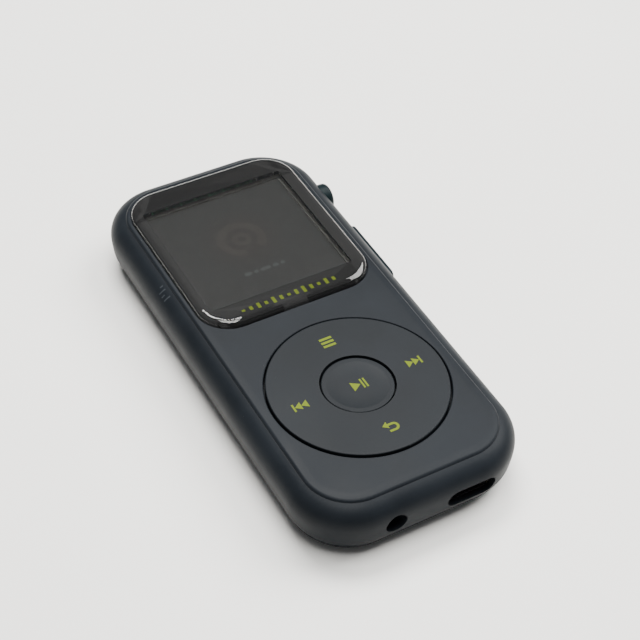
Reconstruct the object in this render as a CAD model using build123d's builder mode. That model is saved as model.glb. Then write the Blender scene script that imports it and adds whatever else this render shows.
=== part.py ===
"""Pocket digital audio player: a rounded shell, a raised screen window and a round control pad.

Units are millimetres.  +Z points out of the screen, +Y points from the control pad to the screen,
+X points to the side with the power button.  The origin is the middle of the flat rear face.
"""
import os
from math import cos, radians, sin, sqrt

from build123d import *

os.makedirs("parts", exist_ok=True)

# ---- outer body ----
body_width = 41.5
body_length = 89.0
body_corner = 11.2           # plan radius of the four corners at the widest level
face_z = 11.6                # flat front face above the rear face
face_edge = 3.46             # the face's outer edge, in from the widest outline
face_fall = 0.1              # the face sinks this far towards its edge
face_fall_reach = 1.2        # width of the band in which it sinks
face_fall_power = 2.0        # how late the sinking starts
face_fall_steps = 5
shoulder_ledge = 0.03        # flat between the top of the edge roll and the foot of the face's shoulder
shoulder_start = 18.0        # part of a quarter-ellipse that the shoulder follows, in degrees
shoulder_end = 80.0
shoulder_steps = 4
widest_z = 7.45              # level where the body is widest
roll_reach = 4.2             # half-axes of the ellipse that rolls from the side to the face
roll_height = 3.8
rear_reach = 4.0             # half-axes of the ellipse that rolls from the side to the rear
rear_height = widest_z
seam_z = 2.0                 # parting line between front shell and rear cover
seam_groove = 0.15           # height and depth of the shadow line above the parting line

# ---- shell cavity ----
wall = 2.6                   # side wall at the widest level
cavity_top_z = 10.2
rear_floor_z = 1.2
lip_height = 1.1
lip_thickness = 1.0
lip_gap = 0.1

# ---- screen ----
lens_width = 33.3
lens_length = 38.7
lens_y = 20.65
lens_corner = 6.2
lens_gap = 0.18
lens_rise = 1.0              # lens stands above the face
lens_floor_z = 10.75
mask_thickness = 0.05
lens_edge_reach = 1.5        # half-axes of the rounded lens edge
lens_edge_steps = 5
lens_edge_fill = 0.97        # share of the rounded edge's quarter-ellipse that is used
tape_thickness = 0.1
window_width = 28.4
window_length = 28.6
window_y = 21.2
lcd_width = 29.6
lcd_length = 32.6
lcd_y = 19.9
lcd_top_z = 9.0
lcd_glass = 1.0

# ---- control pad ----
pad_y = -19.8
ring_radius = 15.5
ring_gap = 0.35
ring_top_z = 11.85
ring_cap = 1.3
ring_flange_radius = 16.7
ring_flange_z = 9.05
ring_flange_thickness = 0.55
ring_inner_radius = 6.5
ring_web = 1.0
button_radius = 6.2
button_top_z = 11.6
dish_depth = 0.15            # hollow in the button's top: depth, flat middle and outer radius
dish_flat = 2.6
dish_radius = 5.3
dish_z = button_top_z - dish_depth
button_flange_radius = 7.2
key_radius = 10.2            # distance of the four ring keys from the centre
post_radius = 0.7
post_bottom_z = 8.3
gimbal_radius = 12.9         # middle of the gimbal's band
gimbal_band = 1.8
gimbal_thickness = 0.35
gimbal_top_z = 9.7
gimbal_bottom_z = gimbal_top_z - gimbal_thickness
gimbal_post_x = 17.5

# ---- circuit board ----
board_bottom_z = 5.55
board_thickness = 0.8
board_top_z = board_bottom_z + board_thickness
board_width = 33.0
board_length = 83.0
board_corner = 7.0

# ---- sockets ----
jack_z = 6.3
jack_x = -6.8
jack_bore = 1.8
jack_width = 6.2
jack_length = 13.0
jack_height = 4.2
jack_front_y = -41.8
usb_z = 5.95
usb_x = 7.45
usb_width = 8.94
usb_height = 3.26
usb_depth = 6.5
usb_wall = 0.3
usb_front_y = -43.1
usb_slot_width = 9.24
usb_slot_height = 3.56
mouth_radius = 1.96          # headphone hole where it meets the outside
mouth_draft = 1.6            # degrees that the headphone hole widens outwards
edge_break = 0.12            # small chamfer round the openings of the face

# ---- side keys ----
side_key_z = 7.3
power_y = 28.9
power_radius = 2.7
power_gap = 0.12
power_out = 1.1
rocker_y = 11.1
rocker_length = 15.2
rocker_height = 2.4
rocker_out = 0.65
rocker_gap = 0.22
rocker_switch_spacing = 10.0


def inset_at(level):
    """How far the side surface is in from the widest outline at a height."""
    if level >= widest_z:
        rise = (level - widest_z) / roll_height
        reach = roll_reach
    else:
        rise = (widest_z - level) / rear_height
        reach = rear_reach
    return reach * (1 - sqrt(max(0.0, 1 - rise * rise)))


def rounded_outline(width, length, corner, level, centre=(0, 0)):
    """Rounded rectangle lying at a height."""
    with BuildSketch(Plane.XY.offset(level)) as outline:
        with Locations(centre):
            RectangleRounded(width, length, corner)
    return outline.sketch


def inset_outline(inset, level):
    """The body's plan outline, moved in from its widest, at a height."""
    return rounded_outline(body_width - 2 * inset, body_length - 2 * inset, body_corner - inset, level)


def body_outlines(levels):
    """The rounded outline of the body at each height."""
    return [inset_outline(inset_at(level), level) for level in levels]


def face_outlines():
    """Outlines of the face from its sunken edge up to its level middle."""
    outlines = []
    for step in range(face_fall_steps + 1):
        share = step / face_fall_steps
        level = face_z - face_fall * (1 - share) ** face_fall_power
        outlines.append(inset_outline(face_edge + face_fall_reach * share, level))
    return outlines


def shoulder_outlines():
    """Outlines of the rounded shoulder from the top of the edge roll up to the face's edge."""
    foot = inset_at(roll_top_z) + shoulder_ledge
    first = radians(shoulder_start)
    last = radians(shoulder_end)
    outlines = []
    for step in range(shoulder_steps + 1):
        turn = first + (last - first) * step / shoulder_steps
        share = (cos(first) - cos(turn)) / (cos(first) - cos(last))
        rise = (sin(turn) - sin(first)) / (sin(last) - sin(first))
        level = roll_top_z + (face_edge_z - roll_top_z) * rise
        outlines.append(inset_outline(foot + (face_edge - foot) * share, level))
    return outlines


def rounded_slab(width, length, corner, bottom_z, height, centre=(0, 0), mode=Mode.ADD):
    """Straight-sided slab with rounded plan corners."""
    extrude(to_extrude=rounded_outline(width, length, corner, bottom_z, centre), amount=height, mode=mode)


def plain_slab(width, length, bottom_z, height, centre=(0, 0), mode=Mode.ADD):
    """Straight-sided slab with square plan corners."""
    with BuildSketch(Plane.XY.offset(bottom_z)) as outline:
        with Locations(centre):
            Rectangle(width, length)
    extrude(to_extrude=outline.sketch, amount=height, mode=mode)


def round_outline(plane, radius, centre):
    """Circle on a plane."""
    with BuildSketch(plane) as outline:
        with Locations(centre):
            Circle(radius)
    return outline.sketch


def countersink(outline, depth):
    """Break the edge of an opening: cut a 45 degree bevel down from the outline on the face."""
    extrude(to_extrude=outline, amount=-depth, taper=45, mode=Mode.SUBTRACT)


def disc(radius, bottom_z, height, centre=(0, pad_y), mode=Mode.ADD):
    """Round slab, centred on the control pad unless told otherwise."""
    extrude(to_extrude=round_outline(Plane.XY.offset(bottom_z), radius, centre), amount=height, mode=mode)


def end_plane(distance):
    """Plane facing the socket end; its local x is the player's +X and its local y is up."""
    return Plane(origin=(0, distance, 0), x_dir=(1, 0, 0), z_dir=(0, -1, 0))


def side_plane(distance):
    """Plane facing the side-key side; its local x is the player's +Y and its local y is up."""
    return Plane(origin=(distance, 0, 0), x_dir=(0, 1, 0), z_dir=(1, 0, 0))


def round_points(count, radius, start=0.0):
    """Points evenly round the control pad's centre."""
    points = []
    for index in range(count):
        angle = radians(start + 360.0 * index / count)
        points.append((radius * cos(angle), pad_y + radius * sin(angle)))
    return points


key_points = round_points(4, key_radius)
screw_points = [(-13.0, 38.6), (13.0, 38.6), (-14.7, -36.0), (14.7, -36.0)]
screw_shank = 0.8
screw_shank_length = 3.5
screw_hole = 0.85
screw_hole_depth = 3.0
screw_head_radius = 1.4
screw_head_height = 0.7
screw_recess_depth = 0.4
screw_recess_length = 1.5
screw_recess_width = 0.35
boss_radius = 1.7

# Levels of the outer skin, denser where it turns fastest.
roll_top_z = 11.07
front_levels = [seam_z + seam_groove, 3.4, 5.2, widest_z, 8.7, 9.6, 10.3, 10.75, roll_top_z]
rear_levels = [0.0, 0.06, 0.25, 0.6, 1.2, seam_z]

# ---- front shell ----
mask_z = lens_floor_z - mask_thickness
tape_z = mask_z - tape_thickness
seam_inset = inset_at(seam_z + seam_groove) + seam_groove
face_edge_z = face_z - face_fall
end_cut = wall + 1.0         # how deep the openings of the end and side walls are cut
snap_points = [(side * (body_width / 2 - wall), y) for side in (-1, 1) for y in (-12.0, 22.3)]
with BuildPart() as front_shell:
    loft(sections=body_outlines(front_levels))
    rounded_slab(
        body_width - 2 * seam_inset,
        body_length - 2 * seam_inset,
        body_corner - seam_inset,
        seam_z,
        seam_groove + 0.05,
    )
    # the face stands a little above the roll, behind a rounded shoulder
    loft(sections=shoulder_outlines())
    loft(sections=face_outlines())
    rounded_slab(
        body_width - 2 * wall,
        body_length - 2 * wall,
        body_corner - wall,
        seam_z,
        cavity_top_z - seam_z,
        mode=Mode.SUBTRACT,
    )
    # pocket and opening of the screen
    rounded_slab(
        lens_width + 2 * lens_gap,
        lens_length + 2 * lens_gap,
        lens_corner + lens_gap,
        tape_z,
        1.5,
        (0, lens_y),
        mode=Mode.SUBTRACT,
    )
    rounded_slab(
        window_width + 1.4,
        window_length + 1.4,
        1.0,
        cavity_top_z - 1.0,
        2.0,
        (0, window_y),
        mode=Mode.SUBTRACT,
    )
    # hole of the control pad
    disc(ring_radius + ring_gap, cavity_top_z - 1.0, 4.0, mode=Mode.SUBTRACT)
    # broken edges of the pad hole and the screen pocket
    pad_rim = round_outline(Plane.XY.offset(face_z), ring_radius + ring_gap + edge_break, (0, pad_y))
    countersink(pad_rim, edge_break + 0.01)
    lens_rim = rounded_outline(
        lens_width + 2 * (lens_gap + edge_break),
        lens_length + 2 * (lens_gap + edge_break),
        lens_corner + lens_gap + edge_break,
        face_z,
        (0, lens_y),
    )
    countersink(lens_rim, edge_break + 0.01)
    # screw bosses and the posts that hold the gimbal down
    with BuildSketch(Plane.XY.offset(board_top_z)):
        with Locations(*screw_points):
            Circle(boss_radius)
    extrude(amount=cavity_top_z - board_top_z)
    with BuildSketch(Plane.XY.offset(board_top_z)):
        with Locations(*screw_points):
            Circle(screw_hole)
    extrude(amount=screw_hole_depth, mode=Mode.SUBTRACT)
    for side in (-1, 1):
        plain_slab(1.2, 2.0, gimbal_top_z + 0.03, cavity_top_z - gimbal_top_z, (side * gimbal_post_x, pad_y))
    # windows for the snap hooks of the rear cover
    with BuildSketch(Plane.XY.offset(3.5)):
        with Locations(*snap_points):
            Rectangle(1.2, 4.6)
    extrude(amount=0.8, mode=Mode.SUBTRACT)
    # headphone and USB openings in the end wall
    mouth = round_outline(end_plane(-body_length / 2), mouth_radius, (jack_x, jack_z))
    extrude(to_extrude=mouth, amount=1.0, mode=Mode.SUBTRACT)
    extrude(to_extrude=mouth, amount=-end_cut, taper=mouth_draft, mode=Mode.SUBTRACT)
    with BuildSketch(end_plane(-body_length / 2 + end_cut)):
        with Locations((usb_x, usb_z)):
            SlotOverall(usb_slot_width, usb_slot_height)
    extrude(amount=end_cut + 1.0, mode=Mode.SUBTRACT)
    # power button and volume key openings in the side wall
    with BuildSketch(side_plane(body_width / 2 - wall - 1.0)):
        with Locations((power_y, side_key_z)):
            Circle(power_radius + power_gap)
        with Locations((rocker_y, side_key_z)):
            RectangleRounded(
                rocker_length + 2 * rocker_gap, rocker_height + 2 * rocker_gap, rocker_height / 2
            )
    extrude(amount=6.0, mode=Mode.SUBTRACT)
front_shell.part.label = "front_shell"
export_step(front_shell.part, "parts/front_shell.step")

# ---- rear cover ----
lip_outline = wall + lip_gap
with BuildPart() as rear_cover:
    loft(sections=body_outlines(rear_levels))
    rounded_slab(
        body_width - 2 * lip_outline,
        body_length - 2 * lip_outline,
        body_corner - lip_outline,
        seam_z,
        lip_height,
    )
    rounded_slab(
        body_width - 2 * (lip_outline + lip_thickness),
        body_length - 2 * (lip_outline + lip_thickness),
        body_corner - lip_outline - lip_thickness,
        rear_floor_z,
        4.0,
        mode=Mode.SUBTRACT,
    )
    # snap hooks: a tongue up from the lip and a barb into the shell window
    for x, y in snap_points:
        side = 1 if x > 0 else -1
        plain_slab(0.8, 4.0, seam_z, 2.3, (x - side * (lip_gap + 0.4), y))
        plain_slab(0.5, 4.0, 3.6, 0.55, (x + side * 0.1, y))
    # pry notch in the left edge of the parting line
    with BuildSketch(side_plane(-body_width / 2 + 2.2)):
        with Locations((-6.8, seam_z)):
            Rectangle(1.6, 0.9)
    extrude(amount=-4.0, mode=Mode.SUBTRACT)
rear_cover.part.label = "rear_cover"
export_step(rear_cover.part, "parts/rear_cover.step")

# ---- screen lens, its adhesive frame and the display behind it ----
lens_outlines = []
for step in range(lens_edge_steps + 1):
    rise = step / lens_edge_steps
    lens_inset = lens_edge_reach * (1 - sqrt(1 - (rise * lens_edge_fill) ** 2))
    lens_outlines.append(
        rounded_outline(
            lens_width - 2 * lens_inset,
            lens_length - 2 * lens_inset,
            lens_corner - lens_inset,
            face_z + rise * lens_rise,
            (0, lens_y),
        )
    )
with BuildPart() as display_lens:
    rounded_slab(lens_width, lens_length, lens_corner, lens_floor_z, face_z - lens_floor_z, (0, lens_y))
    loft(sections=lens_outlines)
display_lens.part.label = "display_lens"
export_step(display_lens.part, "parts/display_lens.step")

motif_heights = [0.5, 0.9, 1.3, 0.8, 1.5, 1.0, 0.6, 1.2, 1.6, 1.1, 0.7, 1.4, 0.9]
motif_pitch = 1.5
motif_bar = 0.62
motif_y = 4.5


def motif_bars(bottom_z, height, mode=Mode.ADD):
    """Row of sound-level bars printed on the bezel under the screen."""
    middle = (len(motif_heights) - 1) / 2
    for index, tall in enumerate(motif_heights):
        plain_slab(motif_bar, tall, bottom_z, height, ((index - middle) * motif_pitch, motif_y), mode)


with BuildPart() as lens_mask:
    rounded_slab(lens_width - 0.4, lens_length - 0.4, lens_corner - 0.2, mask_z, mask_thickness, (0, lens_y))
    rounded_slab(
        window_width, window_length, 0.5, mask_z - 1.0, 3.0, (0, window_y), mode=Mode.SUBTRACT
    )
    motif_bars(mask_z - 1.0, 3.0, mode=Mode.SUBTRACT)
lens_mask.part.label = "lens_mask"
export_step(lens_mask.part, "parts/lens_mask.step")

with BuildPart() as lens_motif:
    motif_bars(mask_z, mask_thickness)
lens_motif.part.label = "lens_motif"
export_step(lens_motif.part, "parts/lens_motif.step")

with BuildPart() as lens_tape:
    rounded_slab(
        lens_width - 0.6,
        lens_length - 0.6,
        lens_corner - 0.3,
        tape_z,
        tape_thickness,
        (0, lens_y),
    )
    rounded_slab(
        window_width + 1.6,
        window_length + 1.6,
        1.0,
        lens_floor_z - 0.5,
        1.0,
        (0, window_y),
        mode=Mode.SUBTRACT,
    )
lens_tape.part.label = "lens_tape"
export_step(lens_tape.part, "parts/lens_tape.step")

lcd_glass_z = lcd_top_z - lcd_glass
lcd_fit = 0.6                # the glass is this much smaller than its frame, both ways
glass_width = lcd_width - lcd_fit
glass_length = lcd_length - lcd_fit
with BuildPart() as lcd_panel:
    plain_slab(glass_width, glass_length, lcd_glass_z, lcd_glass, (0, lcd_y))
lcd_panel.part.label = "lcd_panel"
export_step(lcd_panel.part, "parts/lcd_panel.step")

backlight_z = board_top_z + 0.25
with BuildPart() as backlight:
    plain_slab(glass_width, glass_length, backlight_z, lcd_glass_z - backlight_z, (0, lcd_y))
backlight.part.label = "backlight"
export_step(backlight.part, "parts/backlight.step")

frame_bottom_z = board_top_z + 0.05
frame_lip = 0.2              # the frame's folded lip over the glass
frame_view_inset = 0.4       # the frame's opening is this much smaller than the window, both ways
with BuildPart() as lcd_frame:
    plain_slab(lcd_width, lcd_length, frame_bottom_z, lcd_top_z + frame_lip - frame_bottom_z, (0, lcd_y))
    plain_slab(
        glass_width,
        glass_length,
        backlight_z,
        lcd_top_z - backlight_z,
        (0, lcd_y),
        mode=Mode.SUBTRACT,
    )
    plain_slab(
        window_width - frame_view_inset,
        window_length - frame_view_inset,
        lcd_top_z - 0.5,
        1.5,
        (0, window_y),
        mode=Mode.SUBTRACT,
    )
lcd_frame.part.label = "lcd_frame"
export_step(lcd_frame.part, "parts/lcd_frame.step")

# ---- control pad: ring, gimbal, centre button, rubber mat and key domes ----
ring_cap_z = ring_top_z - ring_cap
ring_rim = 1.3               # wall under the ring's outer edge
with BuildPart() as control_ring:
    disc(ring_radius, ring_flange_z, ring_top_z - ring_flange_z)
    fillet(control_ring.edges().group_by(Axis.Z)[-1], radius=0.2)
    disc(ring_flange_radius, ring_flange_z, ring_flange_thickness)
    disc(ring_radius - ring_rim, ring_flange_z - 1.0, ring_cap_z - ring_flange_z + 1.0, mode=Mode.SUBTRACT)
    disc(ring_inner_radius + ring_web, ring_cap_z - 0.6, 1.0)
    with BuildSketch(Plane.XY.offset(post_bottom_z)):
        with Locations(*key_points):
            Circle(post_radius)
    extrude(amount=ring_cap_z - post_bottom_z + 0.2)
    # pivot feet that stand on the gimbal, on the line the ring tilts about
    for side in (-1, 1):
        plain_slab(
            1.2,
            1.0,
            gimbal_top_z + 0.03,
            ring_cap_z - gimbal_top_z + 0.1,
            (0, pad_y + side * gimbal_radius),
        )
    disc(ring_inner_radius, ring_flange_z - 1.0, 4.0, mode=Mode.SUBTRACT)
    # slots in the skirt that let the gimbal's tabs out to the shell
    for side in (-1, 1):
        plain_slab(4.4, 3.2, ring_flange_z - 1.0, 2.2, (side * 15.6, pad_y), mode=Mode.SUBTRACT)
control_ring.part.label = "control_ring"
export_step(control_ring.part, "parts/control_ring.step")

with BuildPart() as ring_gimbal:
    disc(gimbal_radius + gimbal_band / 2, gimbal_bottom_z, gimbal_thickness)
    plain_slab(
        2 * (gimbal_post_x + 0.55), 1.4, gimbal_bottom_z, gimbal_thickness, (0, pad_y)
    )
    disc(gimbal_radius - gimbal_band / 2, gimbal_bottom_z - 1.0, 3.0, mode=Mode.SUBTRACT)
ring_gimbal.part.label = "ring_gimbal"
export_step(ring_gimbal.part, "parts/ring_gimbal.step")

button_flange_z = 9.1
button_stem_radius = 1.4
button_stem_z = 8.3
with BuildPart() as centre_button:
    disc(button_radius, button_flange_z, button_top_z - button_flange_z)
    fillet(centre_button.edges().group_by(Axis.Z)[-1], radius=0.2)
    disc(button_flange_radius, button_flange_z, 0.45)
    disc(button_radius - 1.0, button_flange_z - 1.0, 2.2, mode=Mode.SUBTRACT)
    disc(button_stem_radius, button_stem_z, 2.4)
    # shallow dish for the fingertip
    with BuildSketch(end_plane(pad_y)):
        with BuildLine():
            Line((0, dish_z), (dish_flat, dish_z))
            TangentArc((dish_flat, dish_z), (dish_radius, button_top_z), tangent=(1, 0))
            Line((dish_radius, button_top_z), (dish_radius, button_top_z + 1))
            Line((dish_radius, button_top_z + 1), (0, button_top_z + 1))
            Line((0, button_top_z + 1), (0, dish_z))
        make_face()
    revolve(axis=Axis((0, pad_y, 0), (0, 0, 1)), mode=Mode.SUBTRACT)
centre_button.part.label = "centre_button"
export_step(centre_button.part, "parts/centre_button.step")

mat_z = 6.85
mat_nub_z = 7.95
with BuildPart() as key_mat:
    plain_slab(25.0, 5.6, mat_z, 0.35, (0, pad_y))
    plain_slab(5.6, 25.0, mat_z, 0.35, (0, pad_y))
    with BuildSketch(Plane.XY.offset(mat_z)):
        with Locations((0, pad_y), *key_points):
            Circle(1.3)
    extrude(amount=mat_nub_z - mat_z)
key_mat.part.label = "key_mat"
export_step(key_mat.part, "parts/key_mat.step")

dome_rise = 0.35
dome_radius = 2.0
dome_sphere = (dome_radius ** 2 + dome_rise ** 2) / (2 * dome_rise)
dome_centre_z = board_top_z + dome_rise - dome_sphere
dome_foot_z = board_top_z + 0.03
dome_cut = 30.0
with BuildPart() as key_domes:
    with Locations(*[(x, y, dome_centre_z) for x, y in [(0, pad_y), *key_points]]):
        Sphere(dome_sphere)
    plain_slab(2 * dome_cut, 2 * dome_cut, dome_foot_z - dome_cut, dome_cut, (0, pad_y), mode=Mode.SUBTRACT)
key_domes.part.label = "key_domes"
export_step(key_domes.part, "parts/key_domes.step")

# ---- circuit board and what is soldered to it ----
jack_back_y = jack_front_y + jack_length
usb_back_y = usb_front_y + usb_depth
board_end_y = -board_length / 2
with BuildPart() as main_board:
    rounded_slab(board_width, board_length, board_corner, board_bottom_z, board_thickness)
    with BuildSketch(Plane.XY.offset(board_bottom_z - 1.0)):
        with Locations(*screw_points):
            Circle(screw_hole + 0.05)
    extrude(amount=3.0, mode=Mode.SUBTRACT)
    # notches for the two sockets, which sit at the board's own level
    for x, width, back_y in (
        (jack_x, jack_width, jack_back_y),
        (usb_x, usb_width, usb_back_y),
    ):
        depth = back_y + 0.2 - board_end_y
        plain_slab(
            width + 0.4,
            depth + 5.0,
            board_bottom_z - 1.0,
            3.0,
            (x, board_end_y + (depth - 5.0) / 2),
            mode=Mode.SUBTRACT,
        )
main_board.part.label = "main_board"
export_step(main_board.part, "parts/main_board.step")

with BuildPart() as main_chip:
    plain_slab(7.0, 7.0, board_bottom_z - 0.9, 0.9, (-6.5, 33.5))
main_chip.part.label = "main_chip"
export_step(main_chip.part, "parts/main_chip.step")

with BuildPart() as memory_chip:
    plain_slab(9.0, 8.0, board_bottom_z - 1.0, 1.0, (5.5, 33.5))
memory_chip.part.label = "memory_chip"
export_step(memory_chip.part, "parts/memory_chip.step")

with BuildPart() as clock_crystal:
    rounded_slab(3.2, 2.5, 0.3, board_bottom_z - 0.7, 0.7, (-12.6, 31.0))
clock_crystal.part.label = "clock_crystal"
export_step(clock_crystal.part, "parts/clock_crystal.step")

connector_y = 0.4
with BuildPart() as flex_connector:
    plain_slab(9.0, 3.0, board_top_z, 1.0, (0, connector_y))
    plain_slab(7.2, 2.0, board_top_z + 0.35, 0.3, (0, connector_y + 0.6), mode=Mode.SUBTRACT)
flex_connector.part.label = "flex_connector"
export_step(flex_connector.part, "parts/flex_connector.step")

# flat tail from the lower edge of the display glass, down and into the connector
flex_start_y = lcd_y - lcd_length / 2 + 0.3
with BuildPart() as lcd_flex:
    with BuildSketch(Plane.YZ.offset(-3.4)):
        with BuildLine():
            FilletPolyline(
                (connector_y - 0.3, board_top_z + 0.5),
                (flex_start_y - 0.8, board_top_z + 0.5),
                (flex_start_y - 0.8, lcd_glass_z + 0.5),
                (flex_start_y - 0.35, lcd_glass_z + 0.5),
                radius=0.3,
            )
            offset(amount=0.06)
        make_face()
    extrude(amount=6.8)
lcd_flex.part.label = "lcd_flex"
export_step(lcd_flex.part, "parts/lcd_flex.step")

# ---- battery ----
battery_z = 1.4
battery_height = 3.8
battery_end_y = 27.0
battery_start_y = -27.5
battery_middle_y = (battery_start_y + battery_end_y) / 2
with BuildPart() as battery:
    rounded_slab(
        30.0,
        battery_end_y - battery_start_y,
        2.0,
        battery_z,
        battery_height,
        (0, battery_middle_y),
    )
    fillet(battery.edges().filter_by(GeomType.LINE).group_by(Axis.Z)[-1], radius=0.8)
battery.part.label = "battery"
export_step(battery.part, "parts/battery.step")

with BuildPart() as battery_tape:
    plain_slab(24.0, 46.0, rear_floor_z, battery_z - rear_floor_z, (0, battery_middle_y))
battery_tape.part.label = "battery_tape"
export_step(battery_tape.part, "parts/battery_tape.step")

lead_radius = 0.35
lead_spacing = 2.0
lead_reach = 1.6
lead_z = 3.6
with BuildPart() as battery_leads:
    for x in (-lead_spacing / 2, lead_spacing / 2):
        with BuildLine(Plane.YZ.offset(x)) as lead_path:
            FilletPolyline(
                (battery_end_y, lead_z),
                (battery_end_y + lead_reach, lead_z),
                (battery_end_y + lead_reach, board_bottom_z),
                radius=lead_reach / 2,
            )
        with BuildSketch(Plane(origin=(x, battery_end_y, lead_z), x_dir=(1, 0, 0), z_dir=(0, 1, 0))):
            Circle(lead_radius)
        sweep(path=lead_path.wires()[0])
battery_leads.part.label = "battery_leads"
export_step(battery_leads.part, "parts/battery_leads.step")

# ---- sockets ----
jack_middle_y = jack_front_y + jack_length / 2
with BuildPart() as jack_housing:
    plain_slab(jack_width, jack_length, jack_z - jack_height / 2, jack_height, (jack_x, jack_middle_y))
    with BuildSketch(end_plane(jack_front_y + jack_length - 0.8)):
        with Locations((jack_x, jack_z)):
            Circle(jack_bore)
    extrude(amount=jack_length, mode=Mode.SUBTRACT)
    # pockets the spring contacts sit in
    for side in (-1, 1):
        plain_slab(
            0.5,
            6.0,
            jack_z - 0.6,
            1.2,
            (jack_x + side * (jack_bore + 0.5), jack_back_y - 5.0),
            mode=Mode.SUBTRACT,
        )
jack_housing.part.label = "jack_housing"
export_step(jack_housing.part, "parts/jack_housing.step")

with BuildPart() as jack_contacts:
    for side in (-1, 1):
        plain_slab(0.25, 5.6, jack_z - 0.5, 1.0, (jack_x + side * (jack_bore + 0.5), jack_back_y - 5.0))
jack_contacts.part.label = "jack_contacts"
export_step(jack_contacts.part, "parts/jack_contacts.step")

with BuildPart() as usb_shell:
    with BuildSketch(end_plane(usb_back_y)):
        with Locations((usb_x, usb_z)):
            SlotOverall(usb_width, usb_height)
    extrude(amount=usb_depth)
    with BuildSketch(end_plane(usb_back_y - 1.0)):
        with Locations((usb_x, usb_z)):
            SlotOverall(usb_width - 2 * usb_wall, usb_height - 2 * usb_wall)
    extrude(amount=usb_depth, mode=Mode.SUBTRACT)
usb_shell.part.label = "usb_shell"
export_step(usb_shell.part, "parts/usb_shell.step")

tongue_width = 6.7
tongue_thickness = 0.7
tongue_length = usb_depth - 1.9
tongue_middle_y = usb_back_y - 1.0 - tongue_length / 2
tongue_bottom_z = usb_z - tongue_thickness / 2
with BuildPart() as usb_tongue:
    plain_slab(tongue_width, tongue_length, tongue_bottom_z, tongue_thickness, (usb_x, tongue_middle_y))
usb_tongue.part.label = "usb_tongue"
export_step(usb_tongue.part, "parts/usb_tongue.step")

# ---- side keys and their switches ----
inner_wall_x = body_width / 2 - wall
key_back_x = 17.5
plunger_x = 16.9
with BuildPart() as power_button:
    with BuildSketch(side_plane(key_back_x)):
        with Locations((power_y, side_key_z)):
            Rectangle(7.4, 5.2)
    extrude(amount=inner_wall_x - 0.05 - key_back_x)
    with BuildSketch(side_plane(key_back_x)):
        with Locations((power_y, side_key_z)):
            Circle(power_radius)
    extrude(amount=body_width / 2 + power_out - key_back_x)
    fillet(power_button.edges().group_by(Axis.X)[-1], radius=0.85)
    with BuildSketch(side_plane(plunger_x + 0.3)):
        with Locations((power_y, side_key_z)):
            Circle(0.9)
    extrude(amount=0.5)
power_button.part.label = "power_button"
export_step(power_button.part, "parts/power_button.step")

rocker_ends = [rocker_y - rocker_switch_spacing / 2, rocker_y + rocker_switch_spacing / 2]
with BuildPart() as volume_rocker:
    with BuildSketch(side_plane(key_back_x - 0.2)):
        with Locations((rocker_y, side_key_z)):
            Rectangle(rocker_length + 1.6, rocker_height + 1.4)
    extrude(amount=0.55)
    with BuildSketch(side_plane(key_back_x)):
        with Locations((rocker_y, side_key_z)):
            RectangleRounded(rocker_length, rocker_height, rocker_height / 2 - 0.05)
    extrude(amount=body_width / 2 + rocker_out - key_back_x)
    fillet(volume_rocker.edges().group_by(Axis.X)[-1], radius=0.4)
    with BuildSketch(side_plane(plunger_x + 0.2)):
        for y in rocker_ends:
            with Locations((y, side_key_z)):
                Circle(0.7)
    extrude(amount=0.4)
volume_rocker.part.label = "volume_rocker"
export_step(volume_rocker.part, "parts/volume_rocker.step")

switch_front_x = 16.4
switch_depth = 1.5
switch_height = 1.9


def side_switch(y):
    """Right-angle push switch at the board's edge, plunger towards the side wall."""
    plain_slab(switch_depth, 4.0, board_top_z, switch_height, (switch_front_x - switch_depth / 2, y))
    plunger_length = plunger_x - switch_front_x
    plain_slab(plunger_length, 1.6, board_top_z + 0.45, 1.0, (switch_front_x + plunger_length / 2, y))


with BuildPart() as power_switch:
    side_switch(power_y)
power_switch.part.label = "power_switch"
export_step(power_switch.part, "parts/power_switch.step")

with BuildPart() as volume_switches:
    for y in rocker_ends:
        side_switch(y)
volume_switches.part.label = "volume_switches"
export_step(volume_switches.part, "parts/volume_switches.step")

# ---- screws that hold the board up to the front shell ----
with BuildPart() as board_screws:
    with BuildSketch(Plane.XY.offset(board_bottom_z - screw_head_height)):
        with Locations(*screw_points):
            Circle(screw_head_radius)
    extrude(amount=screw_head_height)
    with BuildSketch(Plane.XY.offset(board_bottom_z)):
        with Locations(*screw_points):
            Circle(screw_shank)
    extrude(amount=screw_shank_length)
    # cross recess in each head
    with BuildSketch(Plane.XY.offset(board_bottom_z - screw_head_height)):
        with Locations(*screw_points):
            Rectangle(screw_recess_length, screw_recess_width)
            Rectangle(screw_recess_width, screw_recess_length)
    extrude(amount=screw_recess_depth, mode=Mode.SUBTRACT)
board_screws.part.label = "board_screws"
export_step(board_screws.part, "parts/board_screws.step")

# ---- printed symbols ----
ink = 0.03
symbol_radius = 10.7
triangle_width = 1.2
triangle_height = 1.7
stop_bar = 0.35
menu_bar = (2.35, 0.5)
menu_pitch = 0.85
arrow_line = 0.45


def print_triangle(x, y, reach, height, level):
    """Printed triangle whose flat side is at x and whose tip is a signed reach away along X."""
    with BuildSketch(Plane.XY.offset(level)) as mark:
        with BuildLine():
            Polyline((x, y - height / 2), (x + reach, y), (x, y + height / 2), close=True)
        make_face()
    extrude(to_extrude=mark.sketch, amount=ink)


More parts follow.
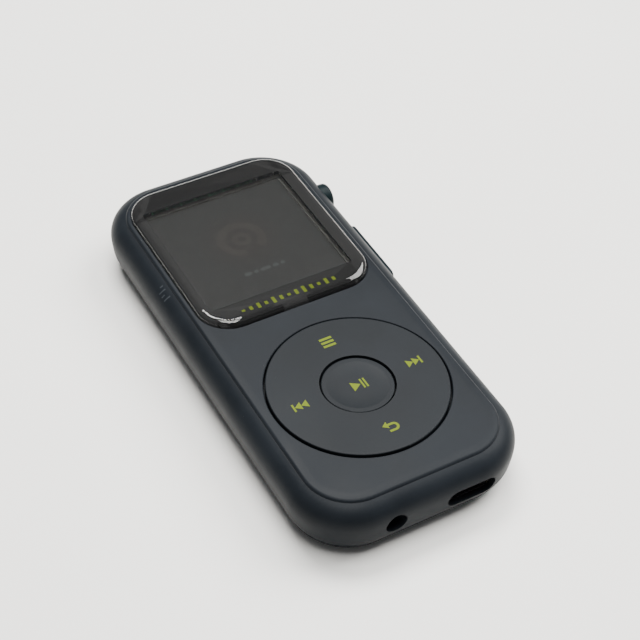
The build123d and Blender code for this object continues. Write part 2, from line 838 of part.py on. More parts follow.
with BuildPart() as ring_symbols:
    # menu: three bars
    for row in (-1, 0, 1):
        plain_slab(*menu_bar, ring_top_z, ink, (0.15, pad_y + symbol_radius + row * menu_pitch))
    # next and previous: two arrowheads and a stop bar
    for side in (-1, 1):
        start_x = side * (symbol_radius - 1.15)
        second_x = start_x + side * triangle_width
        bar_x = second_x + side * (triangle_width + stop_bar / 2)
        print_triangle(start_x, pad_y, side * triangle_width, triangle_height, ring_top_z)
        print_triangle(second_x, pad_y, side * triangle_width, triangle_height, ring_top_z)
        plain_slab(stop_bar, triangle_height, ring_top_z, ink, (bar_x, pad_y))
    # back: an arrow that turns round
    turn_y = pad_y - symbol_radius
    upper_y = turn_y + 0.5
    lower_y = turn_y - 0.85
    bend = (0.5, (upper_y + lower_y) / 2)
    bend_outer = (upper_y - lower_y + arrow_line) / 2
    bend_inner = bend_outer - arrow_line
    print_triangle(-0.35, upper_y, -1.0, 1.5, ring_top_z)
    plain_slab(1.0, arrow_line, ring_top_z, ink, (0.1, upper_y))
    plain_slab(1.2, arrow_line, ring_top_z, ink, (0.0, lower_y))
    with BuildSketch(Plane.XY.offset(ring_top_z)):
        with BuildLine():
            CenterArc(bend, bend_outer, -90, 180)
            Line((bend[0], bend[1] + bend_outer), (bend[0], bend[1] + bend_inner))
            CenterArc(bend, bend_inner, -90, 180)
            Line((bend[0], bend[1] - bend_inner), (bend[0], bend[1] - bend_outer))
        make_face()
    extrude(amount=ink)
ring_symbols.part.label = "ring_symbols"
export_step(ring_symbols.part, "parts/ring_symbols.step")

# play and pause
play_height = 2.1
pause_bar = 0.33
with BuildPart() as button_symbol:
    print_triangle(-1.1, pad_y, 1.6, play_height, dish_z)
    for x in (0.85, 1.45):
        plain_slab(pause_bar, play_height, dish_z, ink, (x, pad_y))
button_symbol.part.label = "button_symbol"
export_step(button_symbol.part, "parts/button_symbol.step")
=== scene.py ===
"""Looks of the pocket audio player: materials, printed picture, small trim, floor, lights and camera.

The player's lengths are in millimetres, which MM turns into Blender's metres.  Those of the floor and
the lights are in metres.  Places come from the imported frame.
"""
from math import cos, radians, sin, sqrt

import bmesh
import bpy
from mathutils import Matrix, Vector


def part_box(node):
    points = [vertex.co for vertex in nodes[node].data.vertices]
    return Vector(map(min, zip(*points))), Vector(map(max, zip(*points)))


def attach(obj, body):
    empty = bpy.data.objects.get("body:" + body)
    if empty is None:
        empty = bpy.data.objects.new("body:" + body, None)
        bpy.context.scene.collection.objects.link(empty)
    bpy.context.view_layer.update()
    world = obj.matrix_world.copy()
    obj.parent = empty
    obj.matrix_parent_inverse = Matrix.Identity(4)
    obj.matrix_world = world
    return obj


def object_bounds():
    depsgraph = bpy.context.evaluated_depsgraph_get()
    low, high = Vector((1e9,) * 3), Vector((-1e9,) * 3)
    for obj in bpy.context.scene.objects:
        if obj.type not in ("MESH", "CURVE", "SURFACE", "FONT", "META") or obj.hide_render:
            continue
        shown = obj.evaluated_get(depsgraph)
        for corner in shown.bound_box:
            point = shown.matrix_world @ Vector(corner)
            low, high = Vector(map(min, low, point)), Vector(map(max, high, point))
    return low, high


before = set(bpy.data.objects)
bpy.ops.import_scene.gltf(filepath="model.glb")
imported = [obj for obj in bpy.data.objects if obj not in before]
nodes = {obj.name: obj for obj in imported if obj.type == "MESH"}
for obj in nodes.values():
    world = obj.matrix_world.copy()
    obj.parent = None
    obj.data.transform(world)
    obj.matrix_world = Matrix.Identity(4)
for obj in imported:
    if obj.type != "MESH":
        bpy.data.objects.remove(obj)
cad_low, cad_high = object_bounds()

MM = 0.001
scene = bpy.context.scene

# ------------------------------------------------------------------ places read from the frame
lcd_low, lcd_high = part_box("lcd_panel")
usb_low, usb_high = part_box("usb_tongue")
shell_half_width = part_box("front_shell")[1].x
lcd_centre = (lcd_low + lcd_high) / 2


# ------------------------------------------------------------------ mesh helpers
def add_mesh(name, mesh_data, material):
    """Link a bmesh as a piece that rides on the case and wears the material it is given."""
    bmesh.ops.recalc_face_normals(mesh_data, faces=mesh_data.faces)
    mesh = bpy.data.meshes.new(name)
    mesh_data.to_mesh(mesh)
    mesh_data.free()
    piece = bpy.data.objects.new(name, mesh)
    scene.collection.objects.link(piece)
    mesh.materials.append(material)
    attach(piece, "case")


def prism(mesh_data, outline, bottom_z, top_z):
    """Closed straight-sided solid over a counter-clockwise plan outline."""
    count = len(outline)
    lower = [mesh_data.verts.new((x, y, bottom_z)) for x, y in outline]
    upper = [mesh_data.verts.new((x, y, top_z)) for x, y in outline]
    mesh_data.faces.new(list(reversed(lower)))
    mesh_data.faces.new(upper)
    for index in range(count):
        after = (index + 1) % count
        mesh_data.faces.new((lower[index], lower[after], upper[after], upper[index]))


def skin(mesh_data, sections, whole):
    """Faces along a run of four-cornered sections, closed on itself or capped at its ends."""
    pairs = list(zip(sections, sections[1:]))
    if whole:
        pairs.append((sections[-1], sections[0]))
    else:
        mesh_data.faces.new(sections[0])
        mesh_data.faces.new(list(reversed(sections[-1])))
    for near, far in pairs:
        for side in range(4):
            after = (side + 1) % 4
            mesh_data.faces.new((near[side], far[side], far[after], near[after]))


def annulus(mesh_data, centre, inner, outer, start, sweep, bottom_z, top_z, steps=72):
    """Closed band of a circle in plan, from a start angle over a sweep, in degrees."""
    whole = sweep >= 360
    corners = ((inner, bottom_z), (outer, bottom_z), (outer, top_z), (inner, top_z))
    sections = []
    for index in range(steps if whole else steps + 1):
        angle = radians(start + sweep * index / steps)
        section = []
        for radius, level in corners:
            x = centre[0] + radius * cos(angle)
            y = centre[1] + radius * sin(angle)
            section.append(mesh_data.verts.new((x, y, level)))
        sections.append(section)
    skin(mesh_data, sections, whole)


def round_bar(centre, width, height, steps=8):
    """Outline of a bar with round ends, counter-clockwise."""
    radius = min(width, height) / 2
    points = []
    for corner, (side_x, side_y) in enumerate(((1, -1), (1, 1), (-1, 1), (-1, -1))):
        for step in range(steps + 1):
            angle = radians(-90 + 90 * corner + 90 * step / steps)
            x = centre[0] + side_x * (width / 2 - radius) + radius * cos(angle)
            y = centre[1] + side_y * (height / 2 - radius) + radius * sin(angle)
            points.append((x, y))
    return points


# ------------------------------------------------------------------ material helpers
BEVEL_SAMPLES = 4
MIX_COLOUR_A = 6               # the Mix node has other sockets with the same names as its colours
MIX_COLOUR_B = 7
MIX_COLOUR_RESULT = 2
NOISE_MIDDLE = (0.35, 0.65)    # most of a noise's values lie between these
NOISE_WIDE = (0.3, 0.7)


def start_material(name, colour, roughness, metallic=0.0):
    """New node material; its constants stand on the shader's own sockets."""
    material = bpy.data.materials.new(name)
    material.use_nodes = True
    tree = material.node_tree
    shader = tree.nodes["Principled BSDF"]
    shader.inputs["Base Color"].default_value = (*colour, 1.0)
    shader.inputs["Roughness"].default_value = roughness
    shader.inputs["Metallic"].default_value = metallic
    return material, tree, shader


def scaled(colour, factor):
    """Colour made darker or lighter by a factor."""
    return tuple(factor * part for part in colour)


def object_position(tree):
    """Position in the piece's own frame, which is the player's frame."""
    return tree.nodes.new("ShaderNodeTexCoord").outputs["Object"]


def noise(tree, position, feature, detail=3.0, roughness=0.5, stretch=(1, 1, 1)):
    """Noise whose features are about so many millimetres across."""
    mapping = tree.nodes.new("ShaderNodeMapping")
    mapping.inputs["Scale"].default_value = stretch
    tree.links.new(position, mapping.inputs["Vector"])
    texture = tree.nodes.new("ShaderNodeTexNoise")
    texture.inputs["Scale"].default_value = 1.0 / (feature * MM)
    texture.inputs["Detail"].default_value = detail
    texture.inputs["Roughness"].default_value = roughness
    tree.links.new(mapping.outputs["Vector"], texture.inputs["Vector"])
    return texture.outputs["Fac"]


def maths(tree, operation, first, second):
    """Math node; either input may be a socket or a number."""
    node = tree.nodes.new("ShaderNodeMath")
    node.operation = operation
    for place, value in enumerate((first, second)):
        if isinstance(value, (int, float)):
            node.inputs[place].default_value = value
        else:
            tree.links.new(value, node.inputs[place])
    return node.outputs["Value"]


def span(tree, value, low, high, out_low=0.0, out_high=1.0):
    """Map a range of a value onto another, held at its ends."""
    node = tree.nodes.new("ShaderNodeMapRange")
    node.inputs["From Min"].default_value = low
    node.inputs["From Max"].default_value = high
    node.inputs["To Min"].default_value = out_low
    node.inputs["To Max"].default_value = out_high
    tree.links.new(value, node.inputs["Value"])
    return node.outputs["Result"]


def blend_colours(tree, share, first, second):
    """Mix two colours or colour sockets by a share."""
    node = tree.nodes.new("ShaderNodeMix")
    node.data_type = "RGBA"
    tree.links.new(share, node.inputs["Factor"])
    for place, value in ((MIX_COLOUR_A, first), (MIX_COLOUR_B, second)):
        if isinstance(value, tuple):
            node.inputs[place].default_value = (*value, 1.0)
        else:
            tree.links.new(value, node.inputs[place])
    return node.outputs[MIX_COLOUR_RESULT]


def spots(tree, position, pitch, radius, bare_share=0.6, core=0.6):
    """Sparse round specks, 1 at their core and 0 outside; a share of the places stays bare."""
    cells = tree.nodes.new("ShaderNodeTexVoronoi")
    cells.inputs["Scale"].default_value = 1.0 / (pitch * MM)
    tree.links.new(position, cells.inputs["Vector"])
    inside = span(tree, cells.outputs["Distance"], radius / pitch, core * radius / pitch)
    chance = tree.nodes.new("ShaderNodeSeparateColor")
    tree.links.new(cells.outputs["Color"], chance.inputs["Color"])
    pick = maths(tree, "GREATER_THAN", chance.outputs["Red"], bare_share)
    return maths(tree, "MULTIPLY", inside, pick)


def rounded_normal(tree, radius):
    """Surface normal with the edges rounded by a radius in millimetres."""
    soft = tree.nodes.new("ShaderNodeBevel")
    soft.samples = BEVEL_SAMPLES
    soft.inputs["Radius"].default_value = radius * MM
    return soft.outputs["Normal"]


def edge_share(tree, width, flat=0.99, sharp=0.75):
    """How near a surface point is to a convex or concave edge: 0 on the flat, up to 1 at an edge.

    It starts and ends where the cosine between the rounded and the true normal is flat and sharp.
    """
    soft_normal = rounded_normal(tree, width)
    hard = tree.nodes.new("ShaderNodeNewGeometry")
    dot = tree.nodes.new("ShaderNodeVectorMath")
    dot.operation = "DOT_PRODUCT"
    tree.links.new(soft_normal, dot.inputs[0])
    tree.links.new(hard.outputs["Normal"], dot.inputs[1])
    return span(tree, dot.outputs["Value"], flat, sharp)


def bump(tree, shader, height, depth, strength=1.0, rounding=0.0):
    """Bump of a depth in millimetres, over edges that may be rounded by a small radius."""
    node = tree.nodes.new("ShaderNodeBump")
    node.inputs["Strength"].default_value = strength
    node.inputs["Distance"].default_value = depth * MM
    tree.links.new(height, node.inputs["Height"])
    if rounding:
        tree.links.new(rounded_normal(tree, rounding), node.inputs["Normal"])
    tree.links.new(node.outputs["Normal"], shader.inputs["Normal"])


# ------------------------------------------------------------------ materials
SLATE = (0.0080, 0.0100, 0.0128)
PAD_SLATE = (0.0086, 0.0104, 0.0126)
LIME = (0.105, 0.14, 0.0)
MASK_BLACK = (0.004, 0.004, 0.0045)
UNLIT = (0.003, 0.003, 0.003)

PLASTIC_SPECULAR = 0.08        # specular levels; the shader's own is 0.5
INK_SPECULAR = 0.12
MASK_SPECULAR = 0.15
DISPLAY_SPECULAR = 0.03

EDGE_WIDTH = 0.25              # rubbed band along the edges of a moulding
EDGE_WEAR = 0.10
RUBBED_LIFT = 0.05
DUST_PITCH = 1.9
DUST_RADIUS = 0.05
DUST_SHARE = 0.10
DUST_GREY = (0.45, 0.44, 0.42)
HANDLED_SPREAD = 0.035         # how far handling and grain move a moulding's roughness
GRAIN_SPREAD = 0.02

ACRYLIC_TINT = (0.93, 0.94, 0.93)
ACRYLIC_IOR = 1.49
CLEAN_ROUGHNESS = 0.02
FILM_ROUGHNESS = 0.05
SMOKE_PER_METRE = 90.0         # darkens what is seen edge-on through the lens, little straight down
SMOKE_COLOUR = (0.0, 0.0, 0.0, 1.0)

TRACK_PITCH = 6.0
TRACK_WIDTH = 0.03             # as a share of the pitch

PIXEL_PITCH = 0.22
PIXEL_GREY = (0.0490, 0.0490, 0.0475, 1)
PIXEL_DARKER = (0.0460, 0.0460, 0.0446, 1)
GLOW_WARM = (0.0535, 0.0445, 0.0398)
GLOW_SHARE = 0.5
GLOW_CORE = 3.0                # the glow is full inside this radius and gone at the next
GLOW_REACH = 8.5
GLOW_UP = 3.0                  # its centre is this far above the middle of the display
glow_spot = (lcd_centre.x, lcd_centre.y + GLOW_UP * MM, lcd_high.z)


def moulded_plastic(name, colour, roughness, grain=0.22, depth=0.006, rounding=0.0):
    """Soft-touch moulded plastic: fine grain, faint mottling, rubbed edges, a few dust specks."""
    material, tree, shader = start_material(name, colour, roughness)
    position = object_position(tree)
    fine = noise(tree, position, grain, detail=2.0)
    broad = noise(tree, position, feature=14.0, detail=4.0, roughness=0.6)
    mottle = span(tree, broad, *NOISE_MIDDLE)
    base = blend_colours(tree, mottle, scaled(colour, 0.86), scaled(colour, 1.12))
    rubbed = tuple(part + RUBBED_LIFT for part in colour)
    near_edge = edge_share(tree, EDGE_WIDTH)
    worn = span(tree, broad, 0.4, 0.6, 0.4 * EDGE_WEAR, EDGE_WEAR)
    base = blend_colours(tree, maths(tree, "MULTIPLY", near_edge, worn), base, rubbed)
    specks = spots(tree, position, DUST_PITCH, DUST_RADIUS)
    base = blend_colours(tree, maths(tree, "MULTIPLY", specks, DUST_SHARE), base, DUST_GREY)
    tree.links.new(base, shader.inputs["Base Color"])
    handled = noise(tree, position, feature=7.0, detail=3.0)
    smoothest = roughness - HANDLED_SPREAD
    roughest = roughness + HANDLED_SPREAD
    shine = span(tree, handled, *NOISE_MIDDLE, smoothest, roughest)
    tooth = span(tree, fine, *NOISE_WIDE, -GRAIN_SPREAD, GRAIN_SPREAD)
    tree.links.new(maths(tree, "ADD", shine, tooth), shader.inputs["Roughness"])
    bump(tree, shader, fine, depth, rounding=rounding)
    shader.inputs["Specular IOR Level"].default_value = PLASTIC_SPECULAR
    return material


def printed_ink(name, colour):
    """Pad-printed ink: slightly uneven coverage and a fine raised tooth."""
    material, tree, shader = start_material(name, colour, roughness=0.5)
    position = object_position(tree)
    cover = noise(tree, position, feature=0.18, detail=2.0)
    base = blend_colours(tree, span(tree, cover, *NOISE_WIDE), scaled(colour, 0.82), colour)
    tree.links.new(base, shader.inputs["Base Color"])
    bump(tree, shader, cover, depth=0.004)
    shader.inputs["Specular IOR Level"].default_value = INK_SPECULAR
    return material


def clear_lens(name):
    """Polished, faintly smoked acrylic with a few scuffs; lamps shine through onto what is behind."""
    material, tree, shader = start_material(name, ACRYLIC_TINT, CLEAN_ROUGHNESS)
    shader.inputs["Transmission Weight"].default_value = 1.0
    shader.inputs["IOR"].default_value = ACRYLIC_IOR
    output = tree.nodes["Material Output"]
    rays = tree.nodes.new("ShaderNodeLightPath")
    passing = tree.nodes.new("ShaderNodeBsdfTransparent")
    either = tree.nodes.new("ShaderNodeMixShader")
    tree.links.new(rays.outputs["Is Shadow Ray"], either.inputs[0])
    tree.links.new(shader.outputs["BSDF"], either.inputs[1])
    tree.links.new(passing.outputs["BSDF"], either.inputs[2])
    tree.links.new(either.outputs["Shader"], output.inputs["Surface"])
    position = object_position(tree)
    scuffs = noise(tree, position, feature=0.5, detail=2.0, stretch=(1, 0.06, 1))
    smudge = noise(tree, position, feature=9.0, detail=3.0)
    scuffed = span(tree, scuffs, 0.62, 0.72)
    smudged = span(tree, smudge, 0.45, 0.6)
    film = maths(tree, "MULTIPLY", scuffed, smudged)
    shine = span(tree, film, 0.0, 1.0, CLEAN_ROUGHNESS, FILM_ROUGHNESS)
    tree.links.new(shine, shader.inputs["Roughness"])
    smoke = tree.nodes.new("ShaderNodeVolumeAbsorption")
    smoke.inputs["Color"].default_value = SMOKE_COLOUR
    smoke.inputs["Density"].default_value = SMOKE_PER_METRE
    tree.links.new(smoke.outputs["Volume"], output.inputs["Volume"])
    return material


def mask_print(name):
    """Black print behind the lens."""
    material, tree, shader = start_material(name, MASK_BLACK, roughness=0.35)
    position = object_position(tree)
    cover = noise(tree, position, feature=0.4, detail=2.0)
    base = blend_colours(tree, cover, scaled(MASK_BLACK, 0.7), MASK_BLACK)
    tree.links.new(base, shader.inputs["Base Color"])
    bump(tree, shader, cover, depth=0.001)
    shader.inputs["Specular IOR Level"].default_value = MASK_SPECULAR
    return material


def brushed_metal(name, colour, roughness, grain=(1, 14, 1), depth=0.002):
    """Rolled or drawn metal with fine lines along one direction."""
    material, tree, shader = start_material(name, colour, roughness, metallic=1.0)
    position = object_position(tree)
    lines = noise(tree, position, feature=0.6, detail=3.0, stretch=grain)
    tarnish = noise(tree, position, feature=2.5, detail=3.0)
    base = blend_colours(tree, span(tree, tarnish, 0.35, 0.7), colour, scaled(colour, 0.7))
    tree.links.new(base, shader.inputs["Base Color"])
    shine = span(tree, lines, *NOISE_WIDE, roughness - 0.06, roughness + 0.1)
    tree.links.new(shine, shader.inputs["Roughness"])
    bump(tree, shader, lines, depth)
    return material


def plain_part(name, colour, roughness, grain=0.3, depth=0.004, spread=0.12):
    """Inner part: one colour with a little unevenness and grain."""
    material, tree, shader = start_material(name, colour, roughness)
    position = object_position(tree)
    fine = noise(tree, position, grain, detail=3.0)
    broad = noise(tree, position, feature=5.0, detail=3.0)
    mottle = span(tree, broad, *NOISE_MIDDLE)
    base = blend_colours(tree, mottle, scaled(colour, 1 - spread), scaled(colour, 1 + spread))
    tree.links.new(base, shader.inputs["Base Color"])
    shine = span(tree, fine, *NOISE_WIDE, roughness - 0.05, roughness + 0.05)
    tree.links.new(shine, shader.inputs["Roughness"])
    bump(tree, shader, fine, depth)
    return material


def circuit_board(name):
    """Green solder mask over faint copper tracks."""
    material, tree, shader = start_material(name, (0.008, 0.06, 0.025), roughness=0.35)
    position = object_position(tree)
    tracks = tree.nodes.new("ShaderNodeTexBrick")
    tracks.inputs["Scale"].default_value = 1.0 / (TRACK_PITCH * MM)
    tracks.inputs["Mortar Size"].default_value = TRACK_WIDTH
    tracks.inputs["Color1"].default_value = (0.006, 0.055, 0.022, 1)
    tracks.inputs["Color2"].default_value = (0.009, 0.07, 0.03, 1)
    tracks.inputs["Mortar"].default_value = (0.03, 0.14, 0.06, 1)
    tree.links.new(position, tracks.inputs["Vector"])
    tree.links.new(tracks.outputs["Color"], shader.inputs["Base Color"])
    bump(tree, shader, tracks.outputs["Fac"], depth=0.01)
    return material


def shine_by_itself(tree, shader, colour):
    """Give a shader its own light, with hardly any reflection over it."""
    tree.links.new(colour, shader.inputs["Emission Color"])
    shader.inputs["Emission Strength"].default_value = 1.0
    shader.inputs["Specular IOR Level"].default_value = DISPLAY_SPECULAR


def lit_display(name):
    """Grey lit display with a fine pixel grid and a faint warm glow round the picture."""
    material, tree, shader = start_material(name, UNLIT, roughness=0.3)
    position = object_position(tree)
    offset = tree.nodes.new("ShaderNodeVectorMath")
    offset.operation = "DISTANCE"
    offset.inputs[1].default_value = glow_spot
    tree.links.new(position, offset.inputs[0])
    glow = span(tree, offset.outputs["Value"], GLOW_CORE * MM, GLOW_REACH * MM, GLOW_SHARE, 0.0)
    grid = tree.nodes.new("ShaderNodeTexChecker")
    grid.inputs["Scale"].default_value = 1.0 / (PIXEL_PITCH * MM)
    grid.inputs["Color1"].default_value = PIXEL_GREY
    grid.inputs["Color2"].default_value = PIXEL_DARKER
    tree.links.new(position, grid.inputs["Vector"])
    shine_by_itself(tree, shader, blend_colours(tree, glow, grid.outputs["Color"], GLOW_WARM))
    return material


def display_ink(name, colour):
    """Lit marks of the picture on the display."""
    material, tree, shader = start_material(name, UNLIT, roughness=0.3)
    position = object_position(tree)
    flicker = noise(tree, position, feature=0.4, detail=1.0)
    shine_by_itself(tree, shader, blend_colours(tree, flicker, scaled(colour, 0.93), colour))
    return material


def table_top(name):
    """Pale matt table with a soft, slightly uneven skin."""
    material, tree, shader = start_material(name, (0.80, 0.795, 0.77), roughness=0.6)
    position = object_position(tree)
    waves = noise(tree, position, feature=9.0, detail=3.0)
    broad = noise(tree, position, feature=90.0, detail=2.0)
    low = (0.785, 0.78, 0.757)
    high = (0.815, 0.81, 0.787)
    base = blend_colours(tree, span(tree, broad, *NOISE_WIDE), low, high)
    tree.links.new(base, shader.inputs["Base Color"])
    bump(tree, shader, waves, depth=0.12, strength=0.35)
    return material


# The number after a colour is the roughness.
materials = {
    "shell_plastic": moulded_plastic("shell_plastic_look", SLATE, 0.44, rounding=0.1),
    "cover_plastic": moulded_plastic("cover_plastic_look", SLATE, 0.5, grain=0.26, depth=0.008),
    "pad_plastic": moulded_plastic("pad_plastic_look", PAD_SLATE, 0.44, grain=0.18, depth=0.005),
    "power_plastic": moulded_plastic("power_plastic_look", (0.004, 0.009, 0.011), 0.38, depth=0.003),
    "rocker_plastic": moulded_plastic("rocker_plastic_look", (0.006, 0.010, 0.013), 0.34, depth=0.003),
    "lens_clear": clear_lens("lens_clear_look"),
    "mask_black": mask_print("mask_black_look"),
    "lime_ink": printed_ink("lime_ink_look", LIME),
    # Tape painted dark grey instead of black: painted light on its shaded edge in the display opening.
    "tape_black": plain_part("tape_painted_light_look", (0.030, 0.030, 0.028), 0.7, spread=0.06),
    "lcd_grey": lit_display("lcd_grey_look"),
    "steel_sheet": brushed_metal("steel_sheet_look", (0.085, 0.084, 0.078), 0.6),
    "backlight_white": plain_part("backlight_white_look", (0.7, 0.7, 0.68), 0.5),
    "flex_amber": plain_part("flex_amber_look", (0.30, 0.13, 0.02), 0.35),
    "connector_beige": plain_part("connector_beige_look", (0.45, 0.42, 0.34), 0.5),
    "mat_rubber": plain_part("mat_rubber_look", (0.10, 0.10, 0.10), 0.75, grain=0.2, depth=0.01),
    "board_green": circuit_board("board_green_look"),
    "chip_black": plain_part("chip_black_look", (0.012, 0.012, 0.012), 0.5, grain=0.12),
    "pouch_silver": plain_part("pouch_silver_look", (0.42, 0.42, 0.43), 0.32, grain=1.4, depth=0.03),
    "lead_red": plain_part("lead_red_look", (0.35, 0.012, 0.01), 0.45),
    "socket_black": plain_part("socket_black_look", (0.006, 0.006, 0.007), 0.45),
    "contact_brass": brushed_metal("contact_brass_look", (0.80, 0.58, 0.24), 0.28),
    # Socket steel painted far darker than bare steel: painted shade for the inside of the USB opening.
    "usb_steel": brushed_metal("usb_steel_painted_shade_look", (0.16, 0.16, 0.165), 0.3, grain=(14, 1, 1)),
    "switch_black": plain_part("switch_black_look", (0.012, 0.012, 0.013), 0.5),
    "screw_steel": brushed_metal("screw_steel_look", (0.45, 0.45, 0.46), 0.35),
}

for node in nodes.values():
    for place, used in enumerate(node.data.materials):
        base_name = used.name.split(".")[0]
        node.data.materials[place] = materials[base_name]

# ------------------------------------------------------------------ picture on the display
PICTURE_RAISE = 0.02 * MM      # the picture's marks stand this far off the display glass
PICTURE_THICK = 0.02 * MM
ARC_INNER = 3.0                # open arc round a small ring, centred on the glow
ARC_OUTER = 4.6
ARC_START = -52
ARC_SWEEP = 312
RING_INNER = 0.8
RING_OUTER = 1.8
DISC_LIGHT = (0.0650, 0.0575, 0.0535)
LABEL_DROP = 8.9               # the row of bars starts this far below and left of the glow's centre
LABEL_LEFT = 3.9
LABEL_WIDTHS = (1.5, 0.9, 2.1, 1.2, 0.9)
LABEL_HEIGHT = 0.85
LABEL_GAP = 0.4
LABEL_LIGHT = (0.0820, 0.0820, 0.0840)
levels = (lcd_high.z + PICTURE_RAISE, lcd_high.z + PICTURE_RAISE + PICTURE_THICK)

disc = bmesh.new()
annulus(disc, glow_spot, ARC_INNER * MM, ARC_OUTER * MM, ARC_START, ARC_SWEEP, *levels)
annulus(disc, glow_spot, RING_INNER * MM, RING_OUTER * MM, 0, 360, *levels, steps=40)
add_mesh("picture_disc", disc, display_ink("picture_disc_look", DISC_LIGHT))

label = bmesh.new()
label_y = glow_spot[1] - LABEL_DROP * MM
label_x = glow_spot[0] - LABEL_LEFT * MM
for bar_width in LABEL_WIDTHS:
    label_x += bar_width / 2 * MM
    outline = round_bar((label_x, label_y), bar_width * MM, LABEL_HEIGHT * MM)
    prism(label, outline, *levels)
    label_x += (bar_width / 2 + LABEL_GAP) * MM
add_mesh("picture_label", label, display_ink("picture_label_look", LABEL_LIGHT))

# ------------------------------------------------------------------ small mark on the left roll
ROLL_WIDEST_Z = 7.45           # the shell's edge roll: level where it is widest, and its half-axes
ROLL_REACH = 4.2
ROLL_HEIGHT = 3.8
MARK_Y = 15.9
MARK_BARS = (                  # offset along Y, and the insets where the bar starts and ends
    (-1.5, 1.1, 2.3),
    (-0.5, 1.1, 1.7),
    (0.5, 1.1, 2.3),
    (1.5, 1.7, 2.3),
)
MARK_HALF_WIDTH = 0.14
MARK_STEPS = 6
MARK_THICK = 0.03
MARK_SINK = 0.02
MARK_GREY = (0.030, 0.034, 0.040)


def roll_spot(inset, y, lift):
    """Point on the left roll, so far in from the widest outline, lifted off the surface."""
    share = 1 - inset / ROLL_REACH
    rise = sqrt(1 - share * share)
    normal = Vector((share / ROLL_REACH, 0, rise / ROLL_HEIGHT)).normalized()
    x = -shell_half_width / MM + inset - normal.x * lift
    z = ROLL_WIDEST_Z + ROLL_HEIGHT * rise + normal.z * lift
    return Vector((x, y, z)) * MM


def roll_strip(mesh_data, near_inset, far_inset, low_y, high_y):
    """Thin closed patch that follows the roll between two insets."""
    top = MARK_THICK - MARK_SINK
    corners = ((low_y, -MARK_SINK), (high_y, -MARK_SINK), (high_y, top), (low_y, top))
    sections = []
    for step in range(MARK_STEPS + 1):
        inset = near_inset + (far_inset - near_inset) * step / MARK_STEPS
        sections.append([mesh_data.verts.new(roll_spot(inset, y, lift)) for y, lift in corners])
    skin(mesh_data, sections, whole=False)


mark = bmesh.new()
for offset, near_inset, far_inset in MARK_BARS:
    bar_y = MARK_Y + offset
    roll_strip(mark, near_inset, far_inset, bar_y - MARK_HALF_WIDTH, bar_y + MARK_HALF_WIDTH)
add_mesh("side_mark", mark, printed_ink("side_mark_look", MARK_GREY))

# ------------------------------------------------------------------ contacts on the USB tongue
PIN_COUNT = 12
PIN_PITCH = 0.5
PIN_SETBACK = 0.5              # from the tongue's mouth end to the contacts
PIN_WIDTH = 0.26
PIN_LENGTH = 3.6
PIN_THICK = 0.03
PIN_GOLD = (0.86, 0.62, 0.26)
tongue_middle = (usb_low.x + usb_high.x) / 2
half = PIN_WIDTH / 2 * MM
front = usb_low.y + PIN_SETBACK * MM
back = front + PIN_LENGTH * MM

pins = bmesh.new()
for index in range(PIN_COUNT):
    x = tongue_middle + (index - (PIN_COUNT - 1) / 2) * PIN_PITCH * MM
    outline = [(x - half, front), (x + half, front), (x + half, back), (x - half, back)]
    prism(pins, outline, usb_high.z, usb_high.z + PIN_THICK * MM)
    prism(pins, outline, usb_low.z - PIN_THICK * MM, usb_low.z)
add_mesh("usb_pins", pins, brushed_metal("usb_pins_look", PIN_GOLD, 0.25))

# ------------------------------------------------------------------ floor
FLOOR_REACH = 1.6
floor_mesh = bpy.data.meshes.new("floor")
corners = [(-FLOOR_REACH, -FLOOR_REACH, 0), (FLOOR_REACH, -FLOOR_REACH, 0)]
corners += [(FLOOR_REACH, FLOOR_REACH, 0), (-FLOOR_REACH, FLOOR_REACH, 0)]
floor_mesh.from_pydata(corners, [], [(0, 1, 2, 3)])
floor = bpy.data.objects.new("floor", floor_mesh)
floor.location.z = cad_low.z
scene.collection.objects.link(floor)
floor_mesh.materials.append(table_top("table_top_look"))

# ------------------------------------------------------------------ lights and room
LAMP_COLOUR = (1.0, 0.99, 0.965)
ROOM_COLOUR = (0.96, 0.98, 1.0, 1.0)
ROOM_STRENGTH = 0.18


def direction_to(azimuth, elevation):
    """Unit vector away from the player, in degrees; azimuth 0 is the socket end, 90 the side keys."""
    turn = radians(azimuth)
    rise = radians(elevation)
    return Vector((sin(turn) * cos(rise), -cos(turn) * cos(rise), sin(rise)))


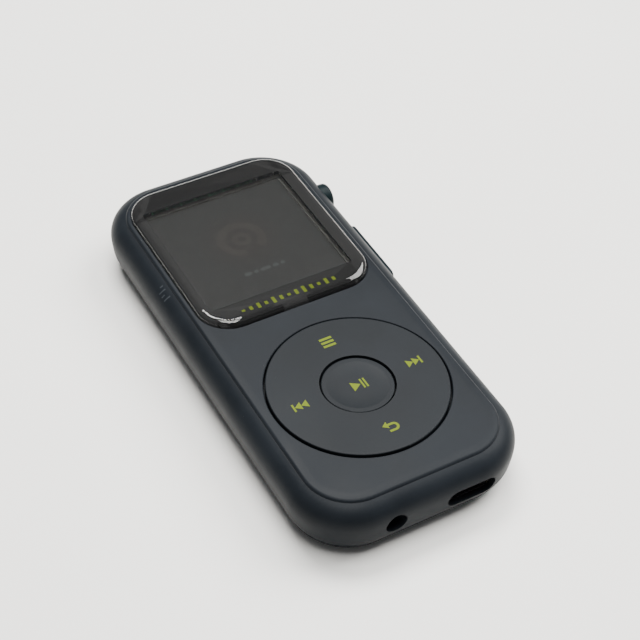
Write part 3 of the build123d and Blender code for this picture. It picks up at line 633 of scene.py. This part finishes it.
def softbox(name, azimuth, elevation, distance, width, height, power):
    """Rectangular light that faces the player from a direction."""
    lamp = bpy.data.lights.new(name, "AREA")
    lamp.shape = "RECTANGLE"
    lamp.size = width
    lamp.size_y = height
    lamp.energy = power
    lamp.color = LAMP_COLOUR
    holder = bpy.data.objects.new(name, lamp)
    direction = direction_to(azimuth, elevation)
    holder.location = direction * distance
    holder.rotation_mode = "QUATERNION"
    holder.rotation_quaternion = direction.to_track_quat("Z", "Y")
    scene.collection.objects.link(holder)


softbox("overhead", azimuth=-20, elevation=82, distance=0.8, width=0.40, height=0.40, power=6.8)
softbox("back", azimuth=168, elevation=64, distance=0.7, width=0.38, height=0.26, power=8.2)
softbox("side", azimuth=96, elevation=46, distance=1.0, width=0.70, height=0.60, power=17.5)

world = bpy.data.worlds.new("studio")
scene.world = world
world.use_nodes = True
world.node_tree.nodes["Background"].inputs["Color"].default_value = ROOM_COLOUR
world.node_tree.nodes["Background"].inputs["Strength"].default_value = ROOM_STRENGTH

# ------------------------------------------------------------------ camera
CAMERA_AZIMUTH = -30.67        # degrees round from the socket end
CAMERA_ELEVATION = 45.01
CAMERA_ROLL = 2.35
CAMERA_DISTANCE = 276.6        # millimetres from the point it looks at
CAMERA_AIM = (4.6, 1.2, 6.0)   # millimetres in the player's frame
FOCAL_LENGTH = 87.1
SENSOR_WIDTH = 36.0
CLIP_NEAR = 0.01               # metres
CLIP_FAR = 20.0


def place_camera():
    """Camera at the viewing angle of the picture."""
    camera_data = bpy.data.cameras.new("camera")
    camera_data.lens = FOCAL_LENGTH
    camera_data.sensor_width = SENSOR_WIDTH
    camera_data.clip_start = CLIP_NEAR
    camera_data.clip_end = CLIP_FAR
    camera = bpy.data.objects.new("camera", camera_data)
    scene.collection.objects.link(camera)
    outward = direction_to(CAMERA_AZIMUTH, CAMERA_ELEVATION)
    turn = radians(CAMERA_AZIMUTH)
    level_right = Vector((cos(turn), sin(turn), 0.0))
    level_up = outward.cross(level_right)
    roll = radians(CAMERA_ROLL)
    right = level_right * cos(roll) + level_up * sin(roll)
    up = outward.cross(right)
    facing = Matrix((right, up, outward)).transposed().to_4x4()
    facing.translation = (Vector(CAMERA_AIM) + outward * CAMERA_DISTANCE) * MM
    camera.matrix_world = facing
    scene.camera = camera


place_camera()
